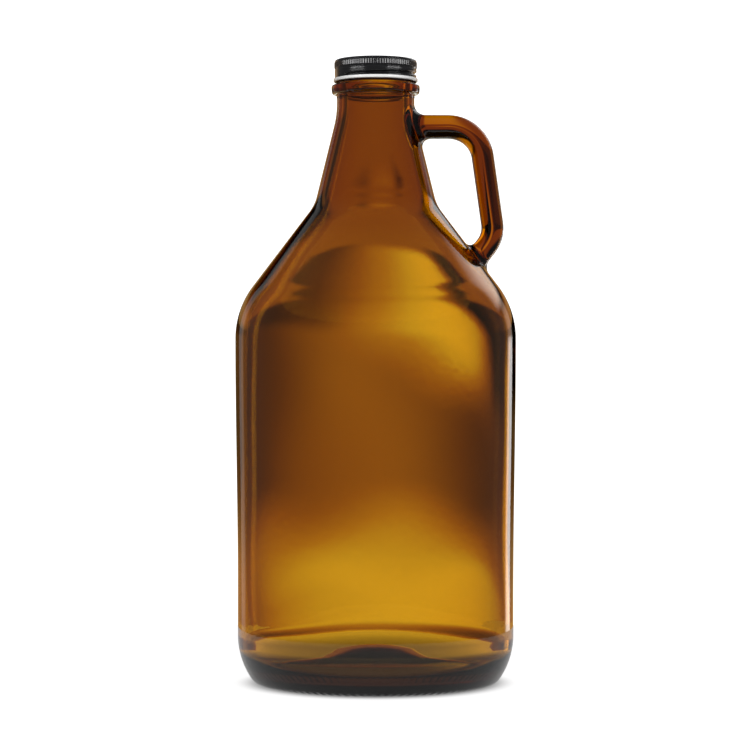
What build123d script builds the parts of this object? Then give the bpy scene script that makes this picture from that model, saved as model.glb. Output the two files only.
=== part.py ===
"""Half-gallon amber glass growler with a loop handle and a 38 mm metal screw cap.

Three things come apart on a bench: the jug, moulded in one piece of glass with its handle and
screw finish; the cap, one drawn tinplate shell; and the sealing disc pressed up inside the cap,
a pulp board wad faced with a polyethylene film.

The frame is millimetres, +Z up, with the origin on the jug's axis in the plane of its bearing
ring. The handle stands towards +X, and apart from its thread the jug is mirror-symmetric about
the XZ plane.
"""

from build123d import *
from math import asin, atan, cos, degrees, pi, radians, sin, tan
import os

# ---------------------------------------------------------------- driving dimensions, in mm

# Jug, outside. A lean is measured in degrees from vertical.
BODY_R = 65.0              # widest, just under the shoulder: a 5 1/8 in jug
PANEL_R = 63.8             # label panel near the heel
PANEL_TOP_Z = 44.0         # straight up to here, then it swells gently to BODY_R
SHOULDER_Z = 159.0         # where the shoulder begins to turn in
SHOULDER_ROUND = 40.0
SHOULDER_LEAN = 37.2
CONE_LEAN = 13.85
CONE_R = 22.6              # radius of the neck cone at CONE_Z
CONE_Z = 243.8
CONE_BOTTOM_ROUND = 20.0   # hollow round between the shoulder and the neck cone
CONE_TOP_ROUND = 45.0      # hollow round between the cone and the straight neck
NECK_R = 17.95
HEEL_ROUND = 35.0
HEEL_Z = 22.0              # where the heel begins to turn in
BEARING_OUT_R = 53.5
BEARING_IN_R = 49.5
PUSH_UP = 12.0             # height of the dome under the base

# Screw finish, for a 38 mm continuous-thread closure
LIP_Z = 286.9
THREAD_ROOT_R = 17.4
THREAD_CREST_R = 18.6
THREAD_WIDTH = 2.4
PITCH = 25.4 / 6           # six threads to the inch
RIB_STEP = 45.0            # degrees between the sections that shape a wound thread
RIB_START = 0.05           # its height at either end, as a share of the full one
THREAD_LOW_Z = 280.7       # middle of the thread where it starts, above the bead
THREAD_TURNS = 0.875
THREAD_AZIMUTH = 112.5     # where it starts, from +X
MOUTH_R = 14.2
FINISH_ROUND = 0.9         # on the lip and the bead

# Transfer bead under the thread
BEAD_R = 20.5
BEAD_LOW_Z = 271.9
BEAD_HIGH_Z = 276.2
BEAD_DRAFT = 0.3           # how much narrower it is at the bottom

# Glass thickness
WALL = 3.2
BASE_WALL = 5.2            # over the top of the push-up
WELL_ROUND = 12.0          # inside the heel
WELL_Z = 18.0              # where the inside of the heel begins to turn in

# Loop handle: an oval bar whose middle line lies in the XZ plane
BAR_THICK = 10.6           # in the XZ plane
BAR_WIDE = 12.8            # along Y
BAR_TOP_Z = 257.0
BAR_BEND = 16.0            # radius where the bar turns down
BAR_BEND_X = 33.8
BAR_LEAN = 8.0             # the grip stands out as it goes down
BAR_GRIP = 31.3            # length of the straight grip
BAR_KNEE = 14.0            # radius where the bar turns in
BAR_FOOT_LEAN = 38.0       # and runs down into the shoulder
BAR_FOOT = 13.0            # far enough to end inside the jug's wall
BAR_ROOT_ROUND = 5.0

# Cap: drawn tinplate
SHEET = 0.25
CAP_TOP_Z = 287.9
CAP_LOW_Z = 277.7
CAP_R = 19.0               # outside of the plain wall
CAP_CORNER = 1.0
KNURL_OUT = 0.15           # how far the ribs stand out of the wall
KNURL_LOW_Z = 284.1
KNURL_HIGH_Z = 286.8
KNURL_RIBS = 100
CURL_GAP = 0.25            # between the wall and the edge folded up outside it
CURL_HEIGHT = 1.5
ROLL_R = 17.75             # how far in the rolled thread reaches
ROLL_WIDTH = 1.9
ROLL_LOW_Z = 279.66        # middle of the rolled thread where it starts
ROLL_TURNS = 0.75

# Sealing disc under the cap's top
FACING = 0.15              # film; the board backing fills the rest of the height
DISC_GAP = 0.05            # left between the film and the glass lip

SINK = 0.1                 # how far an added rib starts inside the face it stands on


def lean_point(start, lean, run):
    """The point run mm up a wall that leans inwards by lean degrees."""
    return start[0] - run * sin(radians(lean)), start[1] + run * cos(radians(lean))


def crossing(first, first_lean, second, second_lean):
    """Where two leaning wall lines meet, each given by a point on it and its lean."""
    a, b = tan(radians(first_lean)), tan(radians(second_lean))
    z = (first[0] - second[0] + a * first[1] - b * second[1]) / (a - b)
    return first[0] - a * (z - first[1]), z


def jug_wall(wall):
    """The jug's wall in the XZ plane, set in by a glass thickness, from the heel to the neck.

    It is drawn from (panel, HEEL_Z) up to the bottom of the straight neck, whose point it
    returns.
    """
    panel = (PANEL_R - wall, HEEL_Z)
    panel_top = (PANEL_R - wall, PANEL_TOP_Z)
    belly = (BODY_R - wall, SHOULDER_Z)
    shoulder_round = SHOULDER_ROUND - wall
    shoulder_centre = (BODY_R - SHOULDER_ROUND, SHOULDER_Z)
    shoulder = (
        shoulder_centre[0] + shoulder_round * cos(radians(SHOULDER_LEAN)),
        shoulder_centre[1] + shoulder_round * sin(radians(SHOULDER_LEAN)),
    )
    cone = (CONE_R - wall / cos(radians(CONE_LEAN)), CONE_Z)
    neck = (NECK_R - wall, CONE_Z)

    low = crossing(shoulder, SHOULDER_LEAN, cone, CONE_LEAN)
    low_run = (CONE_BOTTOM_ROUND + wall) * tan(radians(SHOULDER_LEAN - CONE_LEAN) / 2)
    high = crossing(cone, CONE_LEAN, neck, 0)
    high_run = (CONE_TOP_ROUND + wall) * tan(radians(CONE_LEAN) / 2)
    low_in, low_out = lean_point(low, SHOULDER_LEAN, -low_run), lean_point(low, CONE_LEAN, low_run)
    high_in, high_out = lean_point(high, CONE_LEAN, -high_run), lean_point(high, 0, high_run)

    Line(panel, panel_top)
    Spline(panel_top, belly, tangents=((0, 1), (0, 1)))
    CenterArc(shoulder_centre, shoulder_round, 0, SHOULDER_LEAN)
    Line(shoulder, low_in)
    RadiusArc(low_in, low_out, CONE_BOTTOM_ROUND + wall)
    Line(low_out, high_in)
    RadiusArc(high_in, high_out, CONE_TOP_ROUND + wall)
    return high_out


def wound_rib(base_r, crest_r, width, low_z, turns, azimuth):
    """A right-hand rib of rounded section wound up the axis, sinking into its base at both ends.

    It stands from base_r towards crest_r, inwards or outwards, and starts at low_z and azimuth.
    """
    steps = round(turns * 360 / RIB_STEP)
    with BuildPart() as rib:
        for step in range(steps + 1):
            turned = step * RIB_STEP
            height = 1.0 if 0 < step < steps else RIB_START
            angle = radians(azimuth + turned)
            section = Plane(
                origin=(0, 0, low_z + PITCH * turned / 360),
                x_dir=(cos(angle), sin(angle), 0),
                z_dir=(sin(angle), -cos(angle), 0),
            )
            with BuildSketch(section):
                with BuildLine():
                    crest = base_r + (crest_r - base_r) * height
                    ThreePointArc((base_r, -width / 2), (crest, 0), (base_r, width / 2))
                    Line((base_r, width / 2), (base_r, -width / 2))
                make_face()
        loft()
    return rib.part


# Heel: a large round runs down the wall and a small one brings it tangent onto the bearing ring.
heel_centre = (PANEL_R - HEEL_ROUND, HEEL_Z)
heel_in = BEARING_OUT_R - heel_centre[0]
foot_round = (HEEL_ROUND ** 2 - HEEL_Z ** 2 - heel_in ** 2) / (2 * (HEEL_ROUND - HEEL_Z))
foot_centre = (BEARING_OUT_R, foot_round)
heel_turn = degrees(atan((HEEL_Z - foot_round) / heel_in))

# Push-up: one arc from the bearing ring over the axis.
push_round = (BEARING_IN_R ** 2 + PUSH_UP ** 2) / (2 * PUSH_UP)
push_half = degrees(asin(BEARING_IN_R / push_round))

# Inside of the base: a dome over the push-up that runs tangent into the inner heel round.
well_centre = (PANEL_R - WALL - WELL_ROUND, WELL_Z)
dome_rise = WELL_Z - PUSH_UP - BASE_WALL
dome_round = (well_centre[0] ** 2 + dome_rise ** 2 - WELL_ROUND ** 2) / (2 * (WELL_ROUND - dome_rise))
dome_centre_z = PUSH_UP + BASE_WALL - dome_round
dome_half = degrees(atan(well_centre[0] / (WELL_Z - dome_centre_z)))

# Handle: where its straight and bent lengths meet, in the XZ plane.
grip_top = (
    BAR_BEND_X + BAR_BEND * cos(radians(BAR_LEAN)),
    BAR_TOP_Z - BAR_BEND + BAR_BEND * sin(radians(BAR_LEAN)),
)
grip_end = lean_point(grip_top, BAR_LEAN, -BAR_GRIP)
knee_centre = (
    grip_end[0] - BAR_KNEE * cos(radians(BAR_LEAN)),
    grip_end[1] - BAR_KNEE * sin(radians(BAR_LEAN)),
)
knee_end = (
    knee_centre[0] + BAR_KNEE * cos(radians(BAR_FOOT_LEAN)),
    knee_centre[1] - BAR_KNEE * sin(radians(BAR_FOOT_LEAN)),
)

with BuildPart() as glass_jug:
    with BuildSketch(Plane.YZ):
        with BuildLine():
            CenterArc((0, PUSH_UP - push_round), push_round, 90, -push_half)
            Line((BEARING_IN_R, 0), (BEARING_OUT_R, 0))
            CenterArc(foot_centre, foot_round, -90, 90 - heel_turn)
            CenterArc(heel_centre, HEEL_ROUND, -heel_turn, heel_turn)
            neck = jug_wall(0)
            FilletPolyline(
                neck,
                (NECK_R, BEAD_LOW_Z),
                (BEAD_R - BEAD_DRAFT, BEAD_LOW_Z),
                (BEAD_R, BEAD_HIGH_Z),
                (THREAD_ROOT_R, BEAD_HIGH_Z),
                (THREAD_ROOT_R, LIP_Z),
                (0, LIP_Z),
                radius=FINISH_ROUND,
            )
            Line((0, LIP_Z), (0, PUSH_UP))
        make_face()
    revolve(axis=Axis.Z)

    # The handle, run well into the neck and the shoulder, with its roots rounded.
    with BuildLine(Plane.XZ) as bar:
        Line((MOUTH_R, BAR_TOP_Z), (BAR_BEND_X, BAR_TOP_Z))
        CenterArc((BAR_BEND_X, BAR_TOP_Z - BAR_BEND), BAR_BEND, 90, BAR_LEAN - 90)
        Line(grip_top, grip_end)
        CenterArc(knee_centre, BAR_KNEE, BAR_LEAN, -BAR_LEAN - BAR_FOOT_LEAN)
        Line(knee_end, lean_point(knee_end, -BAR_FOOT_LEAN, -BAR_FOOT))
    with BuildSketch(Plane(origin=(MOUTH_R, 0, BAR_TOP_Z), x_dir=(0, 1, 0), z_dir=(1, 0, 0))):
        Ellipse(BAR_WIDE / 2, BAR_THICK / 2)
    sweep(path=bar.wires()[0])
    roots = glass_jug.edges().filter_by(GeomType.BSPLINE).filter_by_position(Axis.X, MOUTH_R, BODY_R)
    fillet(roots, BAR_ROOT_ROUND)

    # The cavity: dome, well round, wall, neck and mouth.
    with BuildSketch(Plane.YZ):
        with BuildLine():
            CenterArc((0, dome_centre_z), dome_round, 90, -dome_half)
            CenterArc(well_centre, WELL_ROUND, -90 - dome_half, 90 + dome_half)
            Line((PANEL_R - WALL, WELL_Z), (PANEL_R - WALL, HEEL_Z))
            throat = jug_wall(WALL)
            Polyline(
                throat,
                (NECK_R - WALL, BEAD_LOW_Z),
                (MOUTH_R, BEAD_HIGH_Z),
                (MOUTH_R, LIP_Z),
                (0, LIP_Z),
                (0, PUSH_UP + BASE_WALL),
            )
        make_face()
    revolve(axis=Axis.Z, mode=Mode.SUBTRACT)
    fillet(glass_jug.edges().group_by(Axis.Z)[-1].sort_by(SortBy.RADIUS)[0], FINISH_ROUND)
    add(
        wound_rib(
            base_r=THREAD_ROOT_R - SINK,
            crest_r=THREAD_CREST_R,
            width=THREAD_WIDTH,
            low_z=THREAD_LOW_Z,
            turns=THREAD_TURNS,
            azimuth=THREAD_AZIMUTH,
        )
    )

# The cap's rolled thread lies half a pitch under the glass one all the way round.
roll_azimuth = THREAD_AZIMUTH + 360 * (0.5 + (ROLL_LOW_Z - THREAD_LOW_Z) / PITCH)

# The middle of the cap's sheet.
top_mid = CAP_TOP_Z - SHEET / 2
wall_mid = CAP_R - SHEET / 2
corner_mid = CAP_CORNER - SHEET / 2
fold_mid = (SHEET + CURL_GAP) / 2
fold_z = CAP_LOW_Z + SHEET / 2 + fold_mid

with BuildPart() as cap_shell:
    with BuildSketch(Plane(origin=(0, 0, 0), x_dir=(-1, 0, 0), z_dir=(0, 1, 0))):
        with BuildLine():
            Line((0, top_mid), (wall_mid - corner_mid, top_mid))
            CenterArc((wall_mid - corner_mid, top_mid - corner_mid), corner_mid, 90, -90)
            Line((wall_mid, top_mid - corner_mid), (wall_mid, fold_z))
            CenterArc((wall_mid + fold_mid, fold_z), fold_mid, 180, 180)
            Line((wall_mid + 2 * fold_mid, fold_z), (wall_mid + 2 * fold_mid, CAP_LOW_Z + CURL_HEIGHT))
        trace(line_width=SHEET)
    revolve(axis=Axis.Z)

    with BuildSketch(Plane.XY.offset(KNURL_LOW_Z)):
        rib_width = 0.9 * 2 * pi * CAP_R / KNURL_RIBS
        with PolarLocations(CAP_R, KNURL_RIBS):
            Polygon(
                (-SINK, -rib_width / 2),
                (KNURL_OUT, -rib_width / 6),
                (KNURL_OUT, rib_width / 6),
                (-SINK, rib_width / 2),
                align=None,
            )
    extrude(amount=KNURL_HIGH_Z - KNURL_LOW_Z)

    # The rolled thread: a rib inside and the groove outside that leaves the sheet its thickness.
    add(
        wound_rib(
            base_r=CAP_R - SHEET + SINK,
            crest_r=ROLL_R,
            width=ROLL_WIDTH,
            low_z=ROLL_LOW_Z,
            turns=ROLL_TURNS,
            azimuth=roll_azimuth,
        )
    )
    add(
        wound_rib(
            base_r=CAP_R + SINK,
            crest_r=ROLL_R + SHEET,
            width=ROLL_WIDTH - 2.5 * SHEET,
            low_z=ROLL_LOW_Z,
            turns=ROLL_TURNS,
            azimuth=roll_azimuth,
        ),
        mode=Mode.SUBTRACT,
    )

# The sealing disc fills the flat of the cap's top, from the glass lip up to the sheet.
facing_z = LIP_Z + DISC_GAP
backing_z = facing_z + FACING

with BuildPart() as liner_facing:
    with BuildSketch(Plane.XY.offset(facing_z)):
        Circle(CAP_R - CAP_CORNER)
    extrude(amount=FACING)

with BuildPart() as liner_backing:
    with BuildSketch(Plane.XY.offset(backing_z)):
        Circle(CAP_R - CAP_CORNER)
    extrude(amount=CAP_TOP_Z - SHEET - backing_z)

os.makedirs("parts", exist_ok=True)

glass_jug.part.label = "glass_jug"
cap_shell.part.label = "cap_shell"
liner_facing.part.label = "liner_facing"
liner_backing.part.label = "liner_backing"

export_step(glass_jug.part, "parts/glass_jug.step")
export_step(cap_shell.part, "parts/cap_shell.step")
export_step(liner_facing.part, "parts/liner_facing.step")
export_step(liner_backing.part, "parts/liner_backing.step")
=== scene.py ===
import math

import bmesh
import bpy
import numpy as np
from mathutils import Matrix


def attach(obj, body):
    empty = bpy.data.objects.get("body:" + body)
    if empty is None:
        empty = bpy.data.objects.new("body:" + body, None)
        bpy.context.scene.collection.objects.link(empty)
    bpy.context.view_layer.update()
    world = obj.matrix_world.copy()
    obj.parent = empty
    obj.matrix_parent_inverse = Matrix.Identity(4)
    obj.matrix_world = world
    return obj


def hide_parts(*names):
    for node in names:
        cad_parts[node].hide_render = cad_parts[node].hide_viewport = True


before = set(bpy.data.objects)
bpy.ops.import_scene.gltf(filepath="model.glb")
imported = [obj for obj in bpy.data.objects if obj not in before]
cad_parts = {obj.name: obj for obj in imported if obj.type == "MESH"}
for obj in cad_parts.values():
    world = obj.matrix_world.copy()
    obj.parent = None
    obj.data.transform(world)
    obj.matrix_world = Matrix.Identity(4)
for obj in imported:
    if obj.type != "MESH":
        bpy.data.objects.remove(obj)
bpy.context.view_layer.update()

MM = 0.001
TURN = 2 * math.pi
COARSE = 1.2                # mm between points on a plain straight

# ------------------------------------------------------------------ small geometry tools


def smooth(t):
    """An S from 0 at t = 0 to 1 at t = 1."""
    t = np.clip(t, 0.0, 1.0)
    return t * t * (3 - 2 * t)


def lean_point(start, lean, run):
    """The point run mm up a wall that leans inwards by lean degrees."""
    a = math.radians(lean)
    return start[0] - run * math.sin(a), start[1] + run * math.cos(a)


def crossing(first, first_lean, second, second_lean):
    """Where two leaning wall lines meet, each given by a point on it and its lean."""
    a, b = math.tan(math.radians(first_lean)), math.tan(math.radians(second_lean))
    z = (first[0] - second[0] + a * first[1] - b * second[1]) / (a - b)
    return first[0] - a * (z - first[1]), z


class Outline:
    """A run of (r, z) points in mm, built from lines and arcs."""

    def __init__(self, start):
        self.points = [start]

    def line(self, to, step):
        """A straight in pieces of about step mm."""
        start = self.points[-1]
        run = math.hypot(to[0] - start[0], to[1] - start[1])
        if run < 1e-4:
            return
        count = max(1, round(run / step))
        for i in range(1, count + 1):
            t = i / count
            across = start[0] + (to[0] - start[0]) * t
            self.points.append((across, start[1] + (to[1] - start[1]) * t))

    def arc(self, centre, radius, begin, end, step):
        """An arc between two angles, with a point about every step degrees."""
        count = max(2, round(abs(end - begin) / step))
        for i in range(1, count + 1):
            a = math.radians(begin + (end - begin) * i / count)
            self.points.append((centre[0] + radius * math.cos(a), centre[1] + radius * math.sin(a)))

    def swell(self, to, step):
        """A gentle S from the last point to another, upright at both ends."""
        start = self.points[-1]
        count = max(2, round(abs(to[1] - start[1]) / step))
        for i in range(1, count + 1):
            t = i / count
            across = start[0] + (to[0] - start[0]) * smooth(t)
            self.points.append((across, start[1] + (to[1] - start[1]) * t))

    def corner(self, at, to, radius, step):
        """A straight to the rounded corner at `at`, turning towards `to`."""
        start = np.array(self.points[-1])
        p, q = np.array(at), np.array(to)
        u, v = (start - p) / np.linalg.norm(start - p), (q - p) / np.linalg.norm(q - p)
        half = math.acos(np.clip(np.dot(u, v), -1, 1)) / 2
        run = radius / math.tan(half)
        a, b = p + u * run, p + v * run
        centre = p + (u + v) / np.linalg.norm(u + v) * radius / math.sin(half)
        begin = math.atan2(*(a - centre)[::-1])
        turn = (math.atan2(*(b - centre)[::-1]) - begin + math.pi) % TURN - math.pi
        self.line(tuple(a), COARSE)
        count = max(2, round(math.degrees(abs(turn)) / step))
        for i in range(1, count + 1):
            t = begin + turn * i / count
            self.points.append((centre[0] + radius * math.cos(t), centre[1] + radius * math.sin(t)))


def revolved(rows, columns, close_start, close_end):
    """Vertices and faces of a stack of rings, closed by a point at each end.

    rows is a list of (columns, 3) arrays.
    """
    verts = [tuple(p) for row in rows for p in row]
    faces = []
    for j in range(len(rows) - 1):
        for i in range(columns):
            n = (i + 1) % columns
            here, after = j * columns, (j + 1) * columns
            faces.append((here + i, here + n, after + n, after + i))
    for closed, row, flip in ((close_start, 0, True), (close_end, len(rows) - 1, False)):
        verts.append(tuple(closed))
        tip = len(verts) - 1
        for i in range(columns):
            n = (i + 1) % columns
            a, b = row * columns + i, row * columns + n
            faces.append((b, a, tip) if flip else (a, b, tip))
    return verts, faces


def piece(name, verts, faces, body, node, materials, face_material=None):
    """A finished closed mesh object in place of a CAD node. Coordinates come in mm."""
    mesh = bpy.data.meshes.new(name)
    mesh.from_pydata([(x * MM, y * MM, z * MM) for x, y, z in verts], [], faces)
    for material in materials:
        mesh.materials.append(material)
    if face_material is not None:
        mesh.polygons.foreach_set("material_index", face_material)
    mesh.polygons.foreach_set("use_smooth", [True] * len(mesh.polygons))
    made = bmesh.new()
    made.from_mesh(mesh)
    # The points inside a window of the grid belong to no face.
    bmesh.ops.delete(made, geom=[v for v in made.verts if not v.link_faces], context="VERTS")
    bmesh.ops.recalc_face_normals(made, faces=made.faces)
    made.to_mesh(mesh)
    made.free()
    mesh.update()
    obj = bpy.data.objects.new(name, mesh)
    bpy.context.scene.collection.objects.link(obj)
    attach(obj, body)
    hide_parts(node)
    return obj


# ------------------------------------------------------------------ glass jug, in mm

BODY_R = 64.96              # just inside the CAD's 65
PANEL_R, PANEL_TOP_Z = 63.8, 44.0
SHOULDER_Z, SHOULDER_ROUND, SHOULDER_LEAN = 159.0, 40.0, 37.2
CONE_R, CONE_Z, CONE_LEAN = 22.6, 243.8, 13.85
CONE_BOTTOM_ROUND, CONE_TOP_ROUND = 20.0, 45.0
NECK_R = 17.95
HEEL_Z, HEEL_ROUND = 22.0, 35.0
HEEL_TURN = -34.48          # where the heel's large round meets its small one, in degrees
TOE_ROUND = 5.035           # the small one, down to the bearing ring
BEARING_IN_R, BEARING_OUT_R, BEARING_IN_ROUND = 49.5, 53.5, 1.6
PUSH_UP, BASE_WALL = 12.0, 5.2
DOME_EDGE_R = 48.4          # where the push-up's dome ends
POLE_R = 2.2                # the innermost ring, round the point in the middle
WALL = 3.2
NECK_EXTRA, NECK_ROOT_Z = 1.3, 198.0    # the neck's wall thickens by this much, from here up
WELL_Z, WELL_ROUND = 18.0, 12.0
BEAD_R, BEAD_FOOT_R, BEAD_LOW_Z, BEAD_HIGH_Z = 20.5, 20.2, 271.9, 276.2
ROOT_R, MOUTH_R, LIP_Z, LIP_ROUND = 17.4, 14.2, 286.9, 0.9
PITCH = 25.4 / 6
THREAD_LOW_Z, THREAD_AZIMUTH, THREAD_LENGTH = 280.7, 112.5, 315.0
THREAD_OUT, THREAD_HALF, THREAD_END = 1.2, 1.32, 0.7
COLUMNS = 192
WALL_STEP = 0.5             # mm, or degrees in a round, between points of the wall's outline


def wall_outline(wall, start_z):
    """The jug's wall from the panel up to the neck, set in by the glass thickness."""
    run = Outline((PANEL_R - wall, start_z))
    run.line((PANEL_R - wall, PANEL_TOP_Z), WALL_STEP)
    run.swell((BODY_R - wall, SHOULDER_Z), WALL_STEP)
    centre = (BODY_R - SHOULDER_ROUND, SHOULDER_Z)
    run.arc(centre, SHOULDER_ROUND - wall, 0, SHOULDER_LEAN, WALL_STEP)
    cone = (CONE_R - wall / math.cos(math.radians(CONE_LEAN)), CONE_Z)
    low = crossing(run.points[-1], SHOULDER_LEAN, cone, CONE_LEAN)
    high = crossing(cone, CONE_LEAN, (NECK_R - wall, 0), 0)
    for at, lean, next_lean, radius in (
        (low, SHOULDER_LEAN, CONE_LEAN, CONE_BOTTOM_ROUND + wall),
        (high, CONE_LEAN, 0, CONE_TOP_ROUND + wall),
    ):
        a = math.radians(lean)
        begin = lean_point(at, lean, -radius * math.tan(math.radians(lean - next_lean) / 2))
        run.line(begin, WALL_STEP)
        centre = (begin[0] + radius * math.cos(a), begin[1] + radius * math.sin(a))
        run.arc(centre, radius, 180 + lean, 180 + next_lean, WALL_STEP)
    return np.array(run.points)


def inner_r(z):
    """The inside wall, a little thicker from the root of the neck upwards."""
    return np.interp(z, inside[:, 1], inside[:, 0]) - NECK_EXTRA * smooth((z - NECK_ROOT_Z) / 30.0)


def levels(*stops):
    """Heights from one stop to the next: (z, rings up to the next stop), ..., (last z, 0)."""
    out = []
    for (z, count), (up, _) in zip(stops, stops[1:]):
        out += [z + (up - z) * i / count for i in range(count)]
    return out + [stops[-1][0]]


outside = wall_outline(0.0, HEEL_Z)
inside = wall_outline(WALL, WELL_Z)


def outer_r(z):
    """The outside wall."""
    return np.interp(z, outside[:, 1], outside[:, 0])


def from_axis(r, radius):
    """The angle at which a round centred on the jug's axis is r away from that axis."""
    return 90 - math.degrees(math.asin(r / radius))


# The handle's roots each take a window out of the grid of the wall: (columns each side, low z,
# high z, rings). The two windows have as many edge points as each other.
NECK_WINDOW = (21, 245.4, 268.2, 20)
FOOT_WINDOW = (8, 186.6, 205.6, 46)
ROUND_TOP_Z = 183.2         # the shoulder's round ends here
CONE_FROM_Z, CONE_TO_Z = 217.0, 226.0

# Outside, from the middle of the push-up to the lip.
push_round = (BEARING_IN_R ** 2 + PUSH_UP ** 2) / (2 * PUSH_UP)
skin = Outline((POLE_R, PUSH_UP - push_round + math.sqrt(push_round ** 2 - POLE_R ** 2)))
skin.arc(
    (0, PUSH_UP - push_round), push_round,
    from_axis(POLE_R, push_round), from_axis(DOME_EDGE_R, push_round), 1.2,
)
skin.corner((BEARING_IN_R, 0.0), (BEARING_IN_R + 2.0, 0.0), BEARING_IN_ROUND, 6.0)
skin.line((BEARING_OUT_R, 0.0), 1.0)
skin.arc((BEARING_OUT_R, TOE_ROUND), TOE_ROUND, -90, HEEL_TURN, 7.0)
skin.arc((PANEL_R - HEEL_ROUND, HEEL_Z), HEEL_ROUND, HEEL_TURN, 0, 3.0)
wall_z = levels(
    (HEEL_Z, 8), (PANEL_TOP_Z, 40), (SHOULDER_Z, 17), (ROUND_TOP_Z, 3),
    (FOOT_WINDOW[1], FOOT_WINDOW[3]), (FOOT_WINDOW[2], 9), (CONE_FROM_Z, 10), (CONE_TO_Z, 14),
    (NECK_WINDOW[1], NECK_WINDOW[3]), (NECK_WINDOW[2], 2), (270.0, 0),
)
first_wall = len(skin.points)
skin.points += [(float(outer_r(z)), z) for z in wall_z[1:]]
# A low ring where the neck-ring mould closes, just under the bead.
for up, z in ((0.03, 270.35), (0.16, 270.6), (0.16, 270.75), (0.03, 271.0)):
    skin.points.append((NECK_R + up, z))
skin.corner((NECK_R, BEAD_LOW_Z), (BEAD_FOOT_R, BEAD_LOW_Z), 0.6, 15.0)
skin.corner((BEAD_FOOT_R - 0.05, BEAD_LOW_Z), (BEAD_R, 275.0), 1.3, 10.0)
skin.line((BEAD_R - 0.03, 274.6), 0.8)
skin.corner((BEAD_R - 0.1, BEAD_HIGH_Z), (ROOT_R, BEAD_HIGH_Z), 0.8, 12.0)
skin.corner((ROOT_R, BEAD_HIGH_Z), (ROOT_R, LIP_Z), 0.8, 15.0)
first_thread = len(skin.points)
skin.line((ROOT_R, 286.0), 0.24)
last_thread = len(skin.points)
skin.corner((ROOT_R, LIP_Z), (MOUTH_R, LIP_Z), LIP_ROUND, 11.0)
skin.corner((MOUTH_R, LIP_Z), (MOUTH_R, 270.0), LIP_ROUND, 11.0)
first_inner = len(skin.points)

# Inside, from the mouth down to the middle of the floor.
well = (PANEL_R - WALL - WELL_ROUND, WELL_Z)
rise = well[1] - PUSH_UP - BASE_WALL
dome_round = (well[0] ** 2 + rise ** 2 - WELL_ROUND ** 2) / (2 * (WELL_ROUND - rise))
dome_z = PUSH_UP + BASE_WALL - dome_round
dome_half = math.degrees(math.atan(well[0] / (well[1] - dome_z)))
skin.line((MOUTH_R, BEAD_HIGH_Z), COARSE)
skin.line((float(inner_r(BEAD_LOW_Z)), BEAD_LOW_Z), COARSE)
inner_z = levels(
    (WELL_Z, 2), (HEEL_Z, 8), (PANEL_TOP_Z, 40), (SHOULDER_Z, 17), (ROUND_TOP_Z, 24),
    (CONE_FROM_Z, 10), (CONE_TO_Z, 20), (268.0, 2), (270.5, 0),
)
skin.points += [(float(inner_r(z)), z) for z in inner_z[::-1]]
skin.arc(well, WELL_ROUND, 0, -90 - dome_half, 6.0)
skin.arc((0, dome_z), dome_round, 90 - dome_half, from_axis(POLE_R, dome_round), 1.2)

rz = np.array(skin.points)
theta = np.arange(COLUMNS) * TURN / COLUMNS


def thread_out(angle, z):
    """How far the glass thread stands out: one right-hand rib, sinking at both ends."""
    turned = (angle - math.radians(THREAD_AZIMUTH)) % TURN
    left = math.radians(THREAD_LENGTH) - turned
    off = z - (THREAD_LOW_Z + PITCH * turned / TURN)
    shape = np.clip(1 - (off / THREAD_HALF) ** 2, 0, 1) ** 0.75
    return THREAD_OUT * shape * (smooth(turned / THREAD_END) * smooth(left / THREAD_END))


def inner_wave(angle, r, z):
    """The slight unevenness of a blown inside wall."""
    size = 0.24 * smooth((r - 14.0) / 30.0) + 0.03
    return size * (
        0.5 * np.sin(2 * angle + z / 37.0 + 0.8) + 0.3 * np.sin(3 * angle - z / 23.0 + 2.1)
        + 0.2 * np.sin(5 * angle + z / 13.0)
    )


rings = []
for j, (r, z) in enumerate(rz):
    radius = np.full(COLUMNS, r)
    if first_thread <= j < last_thread:
        radius = radius + thread_out(theta, z)
    if j >= first_inner and r > MOUTH_R + 0.2:
        radius = radius + inner_wave(theta, r, z) * smooth((z - 17.0) / 12.0)
    rings.append(np.stack([radius * np.cos(theta), radius * np.sin(theta), np.full(COLUMNS, z)], 1))
verts, faces = revolved(rings, COLUMNS, (0, 0, PUSH_UP), (0, 0, PUSH_UP + BASE_WALL))


def ring_at(z):
    """The number of the ring of the outside wall nearest to z."""
    below_wall = (np.arange(first_thread) < first_wall) * 1e3
    return int(np.argmin(np.abs(rz[:first_thread, 1] - z) + below_wall))


def window(spec, first):
    """The edge of a window, as (vertex, theta, z), and the grid cells inside it.

    The edge runs from the middle of its high or low side round by +Y. That side is the one under
    the outer face of the bar.
    """
    half, low, high, count = spec
    bottom, top = ring_at(low), ring_at(high)
    assert top - bottom == count
    near, far, step = (top, bottom, -1) if first == "high" else (bottom, top, 1)
    edge = [(i, near) for i in range(0, half + 1)]
    edge += [(half, j) for j in range(near + step, far, step)]
    edge += [(i, far) for i in range(half, -half - 1, -1)]
    edge += [(-half, j) for j in range(far - step, near, -step)]
    edge += [(i, near) for i in range(-half, 0)]
    gone = {(i % COLUMNS, j) for i in range(-half, half) for j in range(bottom, top)}
    return [(j * COLUMNS + i % COLUMNS, i * TURN / COLUMNS, rz[j, 1]) for i, j in edge], gone


neck_edge, neck_gone = window(NECK_WINDOW, "high")
foot_edge, foot_gone = window(FOOT_WINDOW, "low")
AROUND = len(neck_edge)
assert AROUND == len(foot_edge)
gone = {j * COLUMNS + i for i, j in neck_gone | foot_gone}
faces = [f for k, f in enumerate(faces) if k not in gone]

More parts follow.
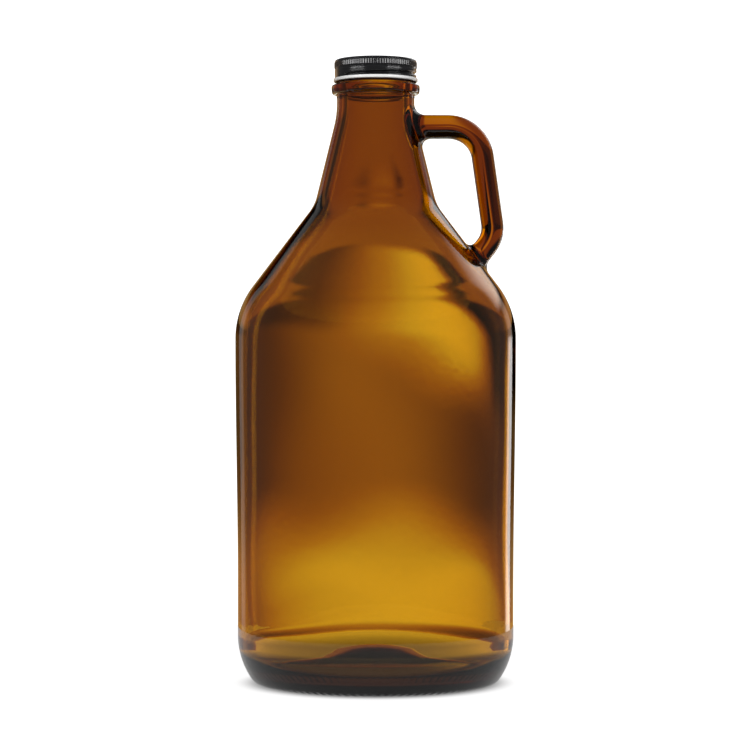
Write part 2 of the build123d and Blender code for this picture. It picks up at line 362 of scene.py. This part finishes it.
# The handle's middle line in the XZ plane: level from the neck, round the bend, down the grip and
# round the knee into the shoulder.
LEAN, KNEE = math.radians(8.0), math.radians(38.0)
BAR_TOP_Z, BAR_BEND_X = 257.0, 33.8
BEND_ROUND, GRIP, KNEE_ROUND = 16, 31.3, 14
BAR_DEEP, BAR_WIDE = 5.6, 6.35          # half of the bar's oval at the neck
BAR_THINNER, BAR_NARROWER = 0.45, 0.15  # by how much less it is along the grip
LONGEST_ROOT = 26.0         # farthest from the bar's first point into the glass
HALVINGS = 50
bend = (BAR_BEND_X, BAR_TOP_Z - BEND_ROUND)
grip_top = (bend[0] + BEND_ROUND * math.cos(LEAN), bend[1] + BEND_ROUND * math.sin(LEAN))
grip_end = (grip_top[0] + GRIP * math.sin(LEAN), grip_top[1] - GRIP * math.cos(LEAN))
knee = (grip_end[0] - KNEE_ROUND * math.cos(LEAN), grip_end[1] - KNEE_ROUND * math.sin(LEAN))
knee_end = (knee[0] + KNEE_ROUND * math.cos(KNEE), knee[1] - KNEE_ROUND * math.sin(KNEE))


def bar_section(i, share):
    """Where edge point i lies round the bar's oval: (towards the outside, along +Y).

    share runs from 0 at the neck to 1 at the foot, and the bar is a little thicker at the neck.
    """
    angle = TURN * i / AROUND
    deep = BAR_DEEP - BAR_THINNER * smooth(share / 0.35)
    wide = BAR_WIDE - BAR_NARROWER * smooth(share / 0.35)
    return deep * np.cos(angle), wide * np.sin(angle)


def on_wall(angle, z):
    """Points on the jug's outside wall."""
    r = outer_r(z)
    return np.stack([r * np.cos(angle), r * np.sin(angle), z + 0 * angle], -1)


def root(edge, begin, along, out, share, flare):
    """Rings of points from a window's edge over a rounded root to the bar.

    begin is a point on the bar's middle line outside the glass, along points from there into the
    glass, out is the outer side of the bar, and flare is the radius of the root.
    """
    index = np.arange(AROUND)
    a, b = bar_section(index, share)
    start = begin + a[:, None] * out + b[:, None] * y_axis
    low, high = np.zeros(AROUND), np.full(AROUND, LONGEST_ROOT)
    for _ in range(HALVINGS):
        mid = (low + high) / 2
        p = start + mid[:, None] * along
        inside_glass = np.hypot(p[:, 0], p[:, 1]) < outer_r(p[:, 2])
        low, high = np.where(inside_glass, low, mid), np.where(inside_glass, mid, high)
    hit = start + low[:, None] * along
    hit_angle, hit_z = np.arctan2(hit[:, 1], hit[:, 0]), hit[:, 2]
    edge_angle, edge_z = np.array([e[1] for e in edge]), np.array([e[2] for e in edge])
    gap = np.linalg.norm(on_wall(edge_angle, edge_z) - hit, axis=1)
    share_out = np.clip(flare / gap, 0, 0.92)
    foot_angle = hit_angle + (edge_angle - hit_angle) * share_out
    foot_z = hit_z + (edge_z - hit_z) * share_out
    made = []
    flat, turns = 5, 9
    for k in range(1, flat + 1):
        t = k / flat
        z = edge_z + (foot_z - edge_z) * t
        made.append(on_wall(edge_angle + (foot_angle - edge_angle) * t, z))
    # A cubic curve from the skirt on the wall up to the bar.
    skirt, top = made[-1], hit - flare * along
    pull = 0.58
    c0, c1 = skirt + (hit - skirt) * pull, top + (hit - top) * pull
    for k in range(1, turns + 1):
        t = k / turns
        p = (1 - t) ** 3 * skirt + 3 * (1 - t) ** 2 * t * c0
        made.append(p + 3 * (1 - t) * t ** 2 * c1 + t ** 3 * top)
    return made


x_axis = np.array([1.0, 0.0, 0.0])
y_axis = np.array([0.0, 1.0, 0.0])
z_axis = np.array([0.0, 0.0, 1.0])
foot_along = np.array([-math.sin(KNEE), 0.0, -math.cos(KNEE)])
foot_out = np.array([math.cos(KNEE), 0.0, -math.sin(KNEE)])
neck_rings = root(neck_edge, np.array([BAR_BEND_X, 0, BAR_TOP_Z]), -x_axis, z_axis, 0.0, 4.8)
foot_begin = np.array([knee_end[0], 0, knee_end[1]])
foot_rings = root(foot_edge, foot_begin, foot_along, foot_out, 1.0, 4.2)

# The bar's own rings: (middle, out, share).
stations = []


def station(x, z, turn, share):
    """Adds a ring at (x, z) whose outer side looks turn radians up from +X."""
    stations.append((np.array([x, 0, z]), np.array([math.cos(turn), 0, math.sin(turn)]), share))


def round_station(centre, radius, turn, share):
    """Adds a ring where the bar runs round a centre."""
    station(centre[0] + radius * math.cos(turn), centre[1] + radius * math.sin(turn), turn, share)


BEND_STEPS, GRIP_STEPS, KNEE_STEPS = 15, 14, 9
for k in range(0, BEND_STEPS + 1):
    t = k / BEND_STEPS
    round_station(bend, BEND_ROUND, math.pi / 2 + (LEAN - math.pi / 2) * t, 0.06 + 0.3 * t)
for k in range(1, GRIP_STEPS):
    t = k / GRIP_STEPS
    x = grip_top[0] + (grip_end[0] - grip_top[0]) * t
    z = grip_top[1] + (grip_end[1] - grip_top[1]) * t
    station(x, z, LEAN, 0.36 + 0.4 * t)
for k in range(0, KNEE_STEPS + 1):
    t = k / KNEE_STEPS
    round_station(knee, KNEE_ROUND, LEAN - (LEAN + KNEE) * t, 0.76 + 0.2 * t)
bar_rings = []
for middle, out, share in stations:
    a, b = bar_section(np.arange(AROUND), share)
    bar_rings.append(middle + a[:, None] * out + b[:, None] * y_axis)


def add_rings(chain, first, last):
    """Joins a chain of rings of new points to the window edges at its two ends."""
    loops = [[e[0] for e in first]]
    for ring in chain:
        loops.append(list(range(len(verts), len(verts) + AROUND)))
        verts.extend(tuple(p) for p in ring)
    loops.append([e[0] for e in last])
    for before, here in zip(loops, loops[1:]):
        for i in range(AROUND):
            n = (i + 1) % AROUND
            faces.append((before[i], before[n], here[n], here[i]))


add_rings(neck_rings + bar_rings + foot_rings[::-1], neck_edge, foot_edge)

# ------------------------------------------------------------------ cap shell, in mm

CAP_COLUMNS = 600
RIBS = 100
SHEET = 0.25
CAP_R, CAP_TOP_Z, CAP_LOW_Z = 19.0, 287.9, 277.7
KNURL_LOW_Z, KNURL_HIGH_Z = 284.1, 286.8
ROLL_AZIMUTH, ROLL_LENGTH, ROLL_LOW_Z, ROLL_DEEP = 204.06, 270.0, 279.66, 1.0
ROLL_END = 0.6
GROOVE_Z = 283.5            # a shallow groove under the knurl
FOLD_Z = 279.075            # top of the edge folded up outside
HALF_SHEET = SHEET / 2
cap_theta = np.arange(CAP_COLUMNS) * TURN / CAP_COLUMNS


def knurl_out(z):
    """The ribs pressed into the upper band."""
    across_rib = np.array([0.0, 0.05, 0.13, 0.165, 0.13, 0.05])
    rib = across_rib[np.arange(CAP_COLUMNS) % (CAP_COLUMNS // RIBS)]
    return rib * smooth((z - KNURL_LOW_Z) / 0.3) * smooth((KNURL_HIGH_Z - z) / 0.3)


def drawn_in(z):
    """The plain wall leans in a little under the knurled band, below a shallow groove."""
    lean = 0.026 * (KNURL_LOW_Z - z) * smooth((z - 278.3) / 0.9)
    return lean + 0.13 * math.exp(-(((z - GROOVE_Z) / 0.32) ** 2))


def rolled_in(z, half):
    """How far the rolled thread is pressed in: one right-hand groove that fades at both ends."""
    turned = (cap_theta - math.radians(ROLL_AZIMUTH)) % TURN
    off = np.abs(z - (ROLL_LOW_Z + PITCH * turned / TURN))
    ends = smooth(turned / ROLL_END) * smooth((math.radians(ROLL_LENGTH) - turned) / ROLL_END)
    return ROLL_DEEP * smooth(1 - off / half) * ends


# The cap's section, from the middle of its top down the outside, round the folded edge and back
# up the inside. A shallow ring is pressed into the top near its edge.
strip = Outline((2.0, CAP_TOP_Z))
strip.line((15.6, CAP_TOP_Z), 2.3)
for r, down in ((16.0, 0.04), (16.3, 0.1), (16.7, 0.1), (17.0, 0.04)):
    strip.points.append((r, CAP_TOP_Z - down))
strip.line((17.3, CAP_TOP_Z), 1.0)
strip.corner((CAP_R, CAP_TOP_Z), (CAP_R, 280.0), 1.0, 9.0)
wall_from = len(strip.points)
strip.line((CAP_R, KNURL_HIGH_Z), 0.1)
strip.line((CAP_R, 286.4), 0.1)
strip.line((CAP_R, 284.5), 0.4)
strip.line((CAP_R, KNURL_LOW_Z), 0.1)
strip.line((CAP_R, 278.1), 0.17)
wall_to = len(strip.points)
strip.arc((CAP_R + HALF_SHEET, 278.075), HALF_SHEET, 180, 360, 30)
enamel_from = len(strip.points)
strip.line((CAP_R + SHEET, FOLD_Z), 0.25)
strip.arc((CAP_R + SHEET + HALF_SHEET, FOLD_Z), HALF_SHEET, 180, 0, 30)
strip.line((CAP_R + 2 * SHEET, CAP_LOW_Z + 2 * SHEET), 0.2)
strip.arc((CAP_R, CAP_LOW_Z + 2 * SHEET), 2 * SHEET, 0, -90, 11)
strip.arc((CAP_R, CAP_LOW_Z + SHEET), SHEET, -90, -180, 22)
lining_from = len(strip.points)
strip.line((CAP_R - SHEET, 286.9), 0.17)
lining_to = len(strip.points)
strip.corner((CAP_R - SHEET, CAP_TOP_Z - SHEET), (2.0, CAP_TOP_Z - SHEET), 0.7, 15.0)
strip.line((2.0, CAP_TOP_Z - SHEET), 2.5)

rows = []
for j, (r, z) in enumerate(strip.points):
    radius = np.full(CAP_COLUMNS, r)
    if wall_from <= j < wall_to:
        radius = radius + knurl_out(z) - rolled_in(z, 0.95) - drawn_in(z) * (z < KNURL_LOW_Z)
    if lining_from <= j < lining_to:
        radius = radius - rolled_in(z, 1.12)
    x, y = radius * np.cos(cap_theta), radius * np.sin(cap_theta)
    rows.append(np.stack([x, y, np.full(CAP_COLUMNS, z)], 1))
cap_verts, cap_faces = revolved(rows, CAP_COLUMNS, (0, 0, CAP_TOP_Z), (0, 0, CAP_TOP_Z - SHEET))
cap_index = [int(j >= enamel_from) for j in range(len(rows) - 1) for _ in range(CAP_COLUMNS)]
cap_index += [0] * CAP_COLUMNS + [1] * CAP_COLUMNS


def disc(radius, low, high, edge, relief):
    """A round wad with eased edges; relief(r, angle) raises or sinks its two faces a little."""
    columns = 180
    angle = np.arange(columns) * TURN / columns
    run = Outline((1.5, low))
    run.corner((radius, low), (radius, high), edge, 30.0)
    run.corner((radius, high), (1.5, high), edge, 30.0)
    run.line((1.5, high), 1.2)
    made = []
    for r, z in run.points:
        up = relief(r, angle) if r < radius - 2 * edge else 0 * angle
        made.append(np.stack([r * np.cos(angle), r * np.sin(angle), z + up], 1))
    return revolved(made, columns, (0, 0, low), (0, 0, high))


def lip_print(r, angle):
    """The ring that the glass lip has pressed into the wad."""
    return 0.035 * np.exp(-((r - 15.8) / 1.1) ** 2) * (1 + 0.2 * np.sin(3 * angle + 0.4))


def cockle(r, angle):
    """The board's slight unevenness inside that ring."""
    return 0.02 * np.sin(5 * angle + r) * (r < 14)


backing_verts, backing_faces = disc(17.95, 287.11, 287.62, 0.12, cockle)
facing_verts, facing_faces = disc(17.97, 286.97, 287.08, 0.04, lip_print)

# ------------------------------------------------------------------ materials


class Nodes:
    """A node tree with a few short words for what is used again and again."""

    def __init__(self, tree):
        self.tree = tree

    def node(self, kind, **settings):
        made = self.tree.nodes.new(kind)
        for key, value in settings.items():
            setattr(made, key, value)
        return made

    def link(self, source, target):
        self.tree.links.new(source, target)

    def position(self, scale=(1, 1, 1)):
        """Object coordinates, in metres, stretched along each axis."""
        mapping = self.node("ShaderNodeMapping")
        mapping.inputs["Scale"].default_value = scale
        self.link(self.node("ShaderNodeTexCoord").outputs["Object"], mapping.inputs["Vector"])
        return mapping.outputs["Vector"]

    def noise(self, scale, detail, stretch=(1, 1, 1)):
        made = self.node("ShaderNodeTexNoise")
        made.inputs["Scale"].default_value = scale
        made.inputs["Detail"].default_value = detail
        self.link(self.position(stretch), made.inputs["Vector"])
        return made.outputs["Fac"]

    def math(self, operation, first, second=0.0):
        made = self.node("ShaderNodeMath", operation=operation)
        for socket, value in zip(made.inputs, (first, second)):
            if isinstance(value, (int, float)):
                socket.default_value = value
            else:
                self.link(value, socket)
        return made.outputs[0]

    def spread(self, value, low, high, to_low, to_high, smooth_step=False):
        """Maps low..high to to_low..to_high, and no further."""
        made = self.node("ShaderNodeMapRange")
        if smooth_step:
            made.interpolation_type = "SMOOTHSTEP"
        limits = {"From Min": low, "From Max": high, "To Min": to_low, "To Max": to_high}
        for key, number in limits.items():
            made.inputs[key].default_value = number
        self.link(value, made.inputs["Value"])
        return made.outputs["Result"]

    def ramp(self, value, *stops):
        made = self.node("ShaderNodeValToRGB")
        while len(made.color_ramp.elements) < len(stops):
            made.color_ramp.elements.new(0.5)
        for element, (place, colour) in zip(made.color_ramp.elements, stops):
            element.position = place
            element.color = (*colour, 1)
        self.link(value, made.inputs["Fac"])
        return made.outputs["Color"]

    def mix(self, factor, first, second, blend="MIX"):
        made = self.node("ShaderNodeMix", data_type="RGBA", blend_type=blend)
        for place, value in ((0, factor), (6, first), (7, second)):
            if isinstance(value, tuple):
                made.inputs[place].default_value = (*value, 1)
            elif isinstance(value, (int, float)):
                made.inputs[place].default_value = value
            else:
                self.link(value, made.inputs[place])
        return made.outputs[2]

    def bump(self, height, distance, strength, under=None):
        made = self.node("ShaderNodeBump")
        made.inputs["Strength"].default_value = strength
        made.inputs["Distance"].default_value = distance
        self.link(height, made.inputs["Height"])
        if under is not None:
            self.link(under, made.inputs["Normal"])
        return made.outputs["Normal"]


class Shader(Nodes):
    """A new material with a Principled surface."""

    def __init__(self, name):
        self.material = bpy.data.materials.new(name)
        self.material.use_nodes = True
        super().__init__(self.material.node_tree)
        self.surface = self.tree.nodes["Principled BSDF"]
        self.output = self.tree.nodes["Material Output"]

    def set(self, **values):
        for key, value in values.items():
            self.surface.inputs[key.replace("_", " ")].default_value = value

    def to(self, name, value):
        self.link(value, self.surface.inputs[name])


def amber_glass():
    made = Shader("jug_glass")
    made.set(Base_Color=(1, 1, 1, 1), Transmission_Weight=1.0, IOR=1.52)
    made.to("Roughness", made.spread(made.noise(55.0, 3.0), 0.35, 0.75, 0.0, 0.035))
    parts = made.node("ShaderNodeSeparateXYZ")
    made.link(made.position(), parts.inputs["Vector"])
    x, y, z = parts.outputs["X"], parts.outputs["Y"], parts.outputs["Z"]
    # The two halves of the mould close in the plane of the handle.
    seam = made.spread(made.math("ABSOLUTE", y), 0.00008, 0.00034, 1.0, 0.0, True)
    outer = made.spread(made.math("ABSOLUTE", x), 0.017, 0.019, 0.0, 1.0)
    seam = made.math("MULTIPLY", seam, outer)
    # A ring of small knurls keeps the bearing surface off the conveyor.
    around = made.math("ARCTAN2", y, x)
    dots = made.math("SINE", made.math("MULTIPLY", around, 96.0))
    dots = made.math("MULTIPLY", dots, made.spread(z, 0.0006, 0.0016, 1.0, 0.0, True))
    squares = made.math("ADD", made.math("MULTIPLY", x, x), made.math("MULTIPLY", y, y))
    out = made.math("SQRT", squares)
    dots = made.math("MULTIPLY", dots, made.spread(out, 0.046, 0.049, 0.0, 1.0))
    ripple = made.noise(16.0, 1.0, (1, 1, 0.35))
    orange = made.noise(240.0, 2.0)
    normal = made.bump(ripple, 0.0016, 0.12)
    normal = made.bump(orange, 0.00001, 0.5, normal)
    normal = made.bump(seam, 0.00012, 1.0, normal)
    normal = made.bump(dots, 0.00025, 1.0, normal)
    made.to("Normal", normal)
    volume = made.node("ShaderNodeVolumeAbsorption")
    volume.inputs["Color"].default_value = (0.877, 0.735, 0.0, 1)
    volume.inputs["Density"].default_value = 775.0
    made.link(volume.outputs["Volume"], made.output.inputs["Volume"])
    return made.material


def black_lacquer():
    made = Shader("cap_lacquer")
    made.set(Coat_Weight=0.6, Coat_Roughness=0.06, Coat_IOR=1.5)
    worn = made.node("ShaderNodeNewGeometry").outputs["Pointiness"]
    worn = made.math("MULTIPLY", made.spread(worn, 0.53, 0.62, 0.0, 0.55), made.noise(900.0, 3.0))
    dark, light = (0.005, 0.005, 0.006), (0.009, 0.009, 0.01)
    lacquer = made.ramp(made.noise(220.0, 3.0), (0.3, dark), (0.7, light))
    made.to("Base Color", made.mix(worn, lacquer, (0.09, 0.09, 0.092)))
    made.to("Roughness", made.spread(made.noise(140.0, 4.0), 0.3, 0.7, 0.16, 0.3))
    made.to("Normal", made.bump(made.noise(1400.0, 2.0), 0.00002, 0.5))
    return made.material


def white_enamel():
    made = Shader("cap_enamel")
    made.set(Coat_Weight=0.3, Coat_Roughness=0.1)
    dull, clean = (0.84, 0.84, 0.83), (0.9, 0.9, 0.89)
    made.to("Base Color", made.ramp(made.noise(160.0, 3.0), (0.3, dull), (0.7, clean)))
    made.to("Roughness", made.spread(made.noise(300.0, 3.0), 0.3, 0.7, 0.22, 0.38))
    made.to("Normal", made.bump(made.noise(1500.0, 2.0), 0.00002, 0.4))
    return made.material


def pulp_board():
    made = Shader("wad_pulp")
    fibres = made.noise(2600.0, 5.0, (1, 0.3, 1))
    across = made.noise(2300.0, 5.0, (0.35, 1, 1))
    both = made.math("MULTIPLY", made.math("ADD", fibres, across), 0.5)
    brown, buff, pale = (0.52, 0.44, 0.33), (0.72, 0.65, 0.53), (0.8, 0.75, 0.64)
    made.to("Base Color", made.ramp(both, (0.3, brown), (0.55, buff), (0.75, pale)))
    made.to("Roughness", made.spread(both, 0.3, 0.7, 0.82, 0.95))
    made.to("Normal", made.bump(both, 0.00012, 0.9))
    return made.material


def white_film():
    made = Shader("wad_film")
    made.set(IOR=1.51)
    dull, clean = (0.82, 0.82, 0.8), (0.9, 0.9, 0.88)
    made.to("Base Color", made.ramp(made.noise(400.0, 3.0), (0.3, dull), (0.7, clean)))
    made.to("Roughness", made.spread(made.noise(700.0, 3.0), 0.3, 0.7, 0.3, 0.42))
    made.to("Normal", made.bump(made.noise(900.0, 4.0, (1, 0.6, 1)), 0.00003, 0.6))
    return made.material


piece("jug", verts, faces, "jug", "glass_jug", [amber_glass()])
cap = piece(
    "cap", cap_verts, cap_faces, "cap", "cap_shell",
    [black_lacquer(), white_enamel()], cap_index,
)
piece(
    "liner_wad", backing_verts, backing_faces, "liner", "liner_backing",
    [pulp_board()],
)
piece(
    "liner_film", facing_verts, facing_faces, "liner", "liner_facing",
    [white_film()],
)

# ------------------------------------------------------------------ floor, light and camera

scene = bpy.context.scene
scene.view_settings.view_transform = "Standard"
scene.view_settings.look = "None"

# A pale sheet of paper that glows. How much it glows differs for the camera, through the glass and
# in its reflections, so that the glass is not flooded from below. Round the jug's base the glow
# fades out: a painted contact shadow.
FLOOR_R, FLOOR_DROP = 0.27, 0.0002
floor_mesh = bmesh.new()
bmesh.ops.create_circle(floor_mesh, cap_ends=True, segments=160, radius=FLOOR_R)
floor_data = bpy.data.meshes.new("floor")
floor_mesh.to_mesh(floor_data)
floor_mesh.free()
floor = bpy.data.objects.new("floor", floor_data)
scene.collection.objects.link(floor)
floor.location = (0, 0, -FLOOR_DROP)
paper = Shader("floor_paper")
paper.set(Base_Color=(0.35, 0.35, 0.35, 1), Emission_Color=(1, 1, 1, 1))
paper.set(Roughness=0.9, Specular_IOR_Level=0.2)
length = paper.node("ShaderNodeVectorMath", operation="LENGTH")
paper.link(paper.position(), length.inputs[0])
reach = length.outputs["Value"]
path = paper.node("ShaderNodeLightPath").outputs
# For the camera the glow is nil under the base and rises outside it: a painted contact shadow.
glow_past_painted_shadow = paper.spread(reach, 0.047, 0.066, 0.0, 0.92, True)
seen = paper.math("MULTIPLY", path["Is Camera Ray"], glow_past_painted_shadow)
# Through the glass the glow is dim near the jug and brighter farther out: painted shade round the
# base.
glow_past_painted_shade = paper.spread(reach, 0.07, 0.2, 0.08, 0.8)
through = paper.math("MULTIPLY", path["Is Transmission Ray"], glow_past_painted_shade)
mirrored = paper.math("MULTIPLY", path["Is Reflection Ray"], 0.4)
paper.to("Emission Strength", paper.math("ADD", paper.math("ADD", seen, through), mirrored))
floor.data.materials.append(paper.material)

# The camera sees a plain white surround. Through the glass and in its reflections the surround has
# soft bright and dark parts, laid out by bearing (degrees from +Y towards +X) and height (degrees
# above the horizon) in the object's own frame.
world = bpy.data.worlds.new("studio")
scene.world = world
world.use_nodes = True
sky = Nodes(world.node_tree)
background = sky.tree.nodes["Background"]
way = sky.node("ShaderNodeSeparateXYZ")
sky.link(sky.node("ShaderNodeTexCoord").outputs["Generated"], way.inputs["Vector"])
IN_DEGREES = 180 / math.pi
around = sky.math("ARCTAN2", way.outputs["X"], way.outputs["Y"])
bearing = sky.math("MULTIPLY", around, IN_DEGREES)
height = sky.math("MULTIPLY", sky.math("ARCSINE", way.outputs["Z"]), IN_DEGREES)
off = sky.math("ABSOLUTE", bearing)


def bell(value, centre, width):
    """1 at the centre, falling away smoothly on both sides."""
    apart = sky.math("DIVIDE", sky.math("SUBTRACT", value, centre), width)
    return sky.math("EXPONENT", sky.math("MULTIPLY", sky.math("MULTIPLY", apart, apart), -1.0))


def edge(value, low, high):
    """0 at low, 1 at high, smooth between; low may be the larger."""
    if low < high:
        return sky.spread(value, low, high, 0.0, 1.0, True)
    return sky.spread(value, high, low, 1.0, 0.0, True)


def times(*values):
    out = values[0]
    for value in values[1:]:
        out = sky.math("MULTIPLY", out, value)
    return out


def plus(*values):
    out = values[0]
    for value in values[1:]:
        out = sky.math("ADD", out, value)
    return out


def rest_of(value):
    """What is left of 1."""
    return sky.math("SUBTRACT", 1.0, value)


# Behind the jug: the ground, the sky in two steps, and a bright patch in it.
below = edge(height, -2.5, -5.2)
ground_bearing = plus(bearing, times(edge(height, -5.3, -4.2), 4.2))
ground = times(below, plus(times(bell(ground_bearing, 2.7, 8.0), 0.82), 0.52))
upper = edge(height, 4.2, 5.2)
low_sky = times(rest_of(below), rest_of(upper))
dark_side = times(edge(bearing, 0.0, -2.8), edge(height, 1.2, 2.8), 0.62)
low_sky = times(low_sky, rest_of(dark_side), plus(times(bell(bearing, -0.3, 4.2), 0.36), 0.14))
high_sky = times(upper, edge(height, 15.0, 9.0), 0.5)
patch_low = edge(plus(height, times(bearing, 0.25)), 0.1, 1.9)
patch = times(bell(bearing, 3.9, 3.2), patch_low, edge(height, 5.2, 3.4), 1.12)

# A dark card on the right shades all of these, and they fade out towards the sides.
tipped = plus(bearing, times(sky.math("MAXIMUM", sky.math("MINIMUM", height, 4.2), 0.0), 1.15))
card = times(
    edge(tipped, 7.5, 10.5), edge(height, -1.6, -0.3),
    edge(height, 5.6, 4.8), edge(bearing, 30.0, 27.0),
)
behind = edge(off, 60.0, 30.0)
amber = times(plus(ground, plus(low_sky, high_sky), patch), rest_of(card))
BRIGHTEST = 1.4
glow = sky.ramp(
    sky.math("DIVIDE", times(amber, behind), BRIGHTEST),
    (0.0, (0.0, 0.0, 0.0)), (0.157, (0.157, 0.079, 0.02)), (0.386, (0.386, 0.214, 0.07)),
    (0.564, (0.564, 0.4, 0.2)), (0.786, (0.786, 0.78, 0.65)), (1.0, (1.0, 1.0, 0.9)),
)

# At the sides: an upright strip on either hand, and one high on the right.
left = times(edge(bearing, -28.0, -32.0), edge(bearing, -44.0, -38.0), 0.2)
right = times(edge(bearing, 28.0, 32.0), edge(bearing, 45.0, 38.0))
right = times(right, plus(times(edge(height, 2.2, 0.4), 1.15), 0.25))
high = times(edge(height, 14.0, 20.0), edge(bearing, 13.0, 19.0), edge(bearing, 55.0, 44.0), 0.85)
sides = plus(times(plus(left, right, high), edge(height, 55.0, 25.0)), times(rest_of(behind), 0.09))
light = sky.mix(1.0, glow, sides, "ADD")
seen = sky.mix(sky.node("ShaderNodeLightPath").outputs["Is Camera Ray"], light, (1.0, 1.0, 1.0))
sky.link(seen, background.inputs["Color"])
background.inputs["Strength"].default_value = BRIGHTEST


def area_light(name, size, energy, place, turned):
    """A rectangular area light; turned is (pitch, yaw) in radians, and unturned it shines down."""
    light = bpy.data.objects.new(name, bpy.data.lights.new(name, "AREA"))
    scene.collection.objects.link(light)
    light.data.shape = "RECTANGLE"
    light.data.size, light.data.size_y = size
    light.data.energy = energy
    light.location = place
    light.rotation_euler = (turned[0], 0, turned[1])
    return light


above = area_light("overhead", (1.6, 1.6), 11.0, (0, 0, 1.6), (0, 0))
above.visible_glossy = False
above.visible_transmission = False

# Two low soft boxes and a large soft light in front shine on the cap alone.
only_cap = bpy.data.collections.new("only_cap")
only_cap.objects.link(cap)
for x, y in ((-0.47, -0.36), (0.45, -0.34)):
    yaw = math.atan2(-x, y) + math.pi
    box = area_light("soft_box", (0.42, 0.04), 0.5, (x, y, 0.37), (math.radians(97.0), yaw))
    box.light_linking.receiver_collection = only_cap
fill = area_light("fill", (1.2, 0.8), 13.0, (0, -0.75, 1.0), (math.radians(46.0), 0))
fill.light_linking.receiver_collection = only_cap
fill.visible_glossy = False

camera = bpy.data.objects.new("camera", bpy.data.cameras.new("camera"))
scene.collection.objects.link(camera)
camera.location = (-0.0003, -1.134, 0.14206)
camera.rotation_euler = (math.pi / 2, 0, 0)
camera.data.sensor_width = 36
camera.data.lens = 117.4
scene.camera = camera
